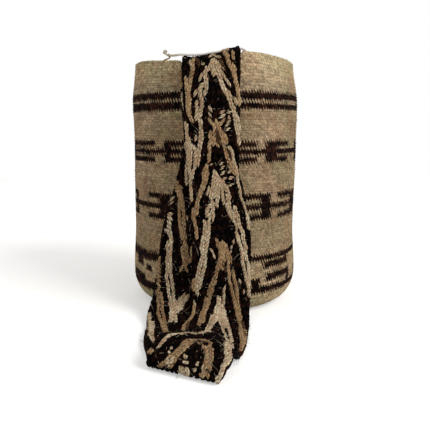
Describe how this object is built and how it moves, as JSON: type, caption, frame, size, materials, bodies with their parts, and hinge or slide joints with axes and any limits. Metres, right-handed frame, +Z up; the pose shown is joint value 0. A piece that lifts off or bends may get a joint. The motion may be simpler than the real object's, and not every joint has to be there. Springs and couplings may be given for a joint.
{
  "type": "mochila bag",
  "caption": "Cylindrical hand-looped wool shoulder bag with dark geometric bands and a wide braided strap thrown over its front.",
  "frame": {"origin": "centre of the bag's round base, on the surface it stands on", "axes": "+Z up through the mouth, -Y out of the front where the strap hangs, +X to the right seen from the front"},
  "size_m": [0.1971, 0.3472, 0.2868],
  "materials": {
    "bag_wool": "looped undyed wool, beige with dark brown figures",
    "strap_wool": "braided wool in cream, black and tan",
    "sewing_wool": "tan two-ply wool yarn",
    "cord_wool": "twisted cream wool cord"
  },
  "bodies": {
    "root": {"bag_body": "bag_wool", "strap": "strap_wool", "front_seam_yarn": "sewing_wool", "rear_seam_yarn": "sewing_wool", "drawcord": "cord_wool", "cord_end_knot": "cord_wool", "cord_root_knot": "cord_wool"}
  },
  "joints": []
}
